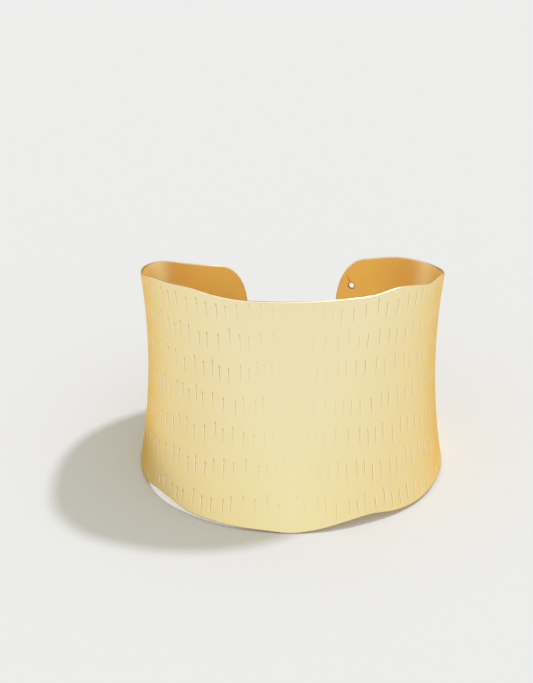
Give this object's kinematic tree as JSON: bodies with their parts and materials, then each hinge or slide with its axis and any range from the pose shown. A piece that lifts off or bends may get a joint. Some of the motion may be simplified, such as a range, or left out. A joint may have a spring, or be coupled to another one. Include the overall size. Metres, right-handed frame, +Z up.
{
  "type": "cuff bracelet",
  "caption": "Open cuff bracelet formed from one thin sheet of gold-plated brass, waisted, with wavy rims, rounded corners and a small hanging hole",
  "frame": {"origin": "centre of the bounding box in X and Y, on the table (z = 0)", "axes": "+X to the wearer's side across the cuff's width, +Y from the middle of the front to the opening between the ends, +Z up as the cuff stands on its lower rim"},
  "size_m": [0.0662, 0.058, 0.0531],
  "materials": {
    "cuff_band": "satin gold plate over brass, outer face covered in short upright chisel marks"
  },
  "bodies": {
    "root": {"cuff_band": "cuff_band"}
  },
  "joints": []
}
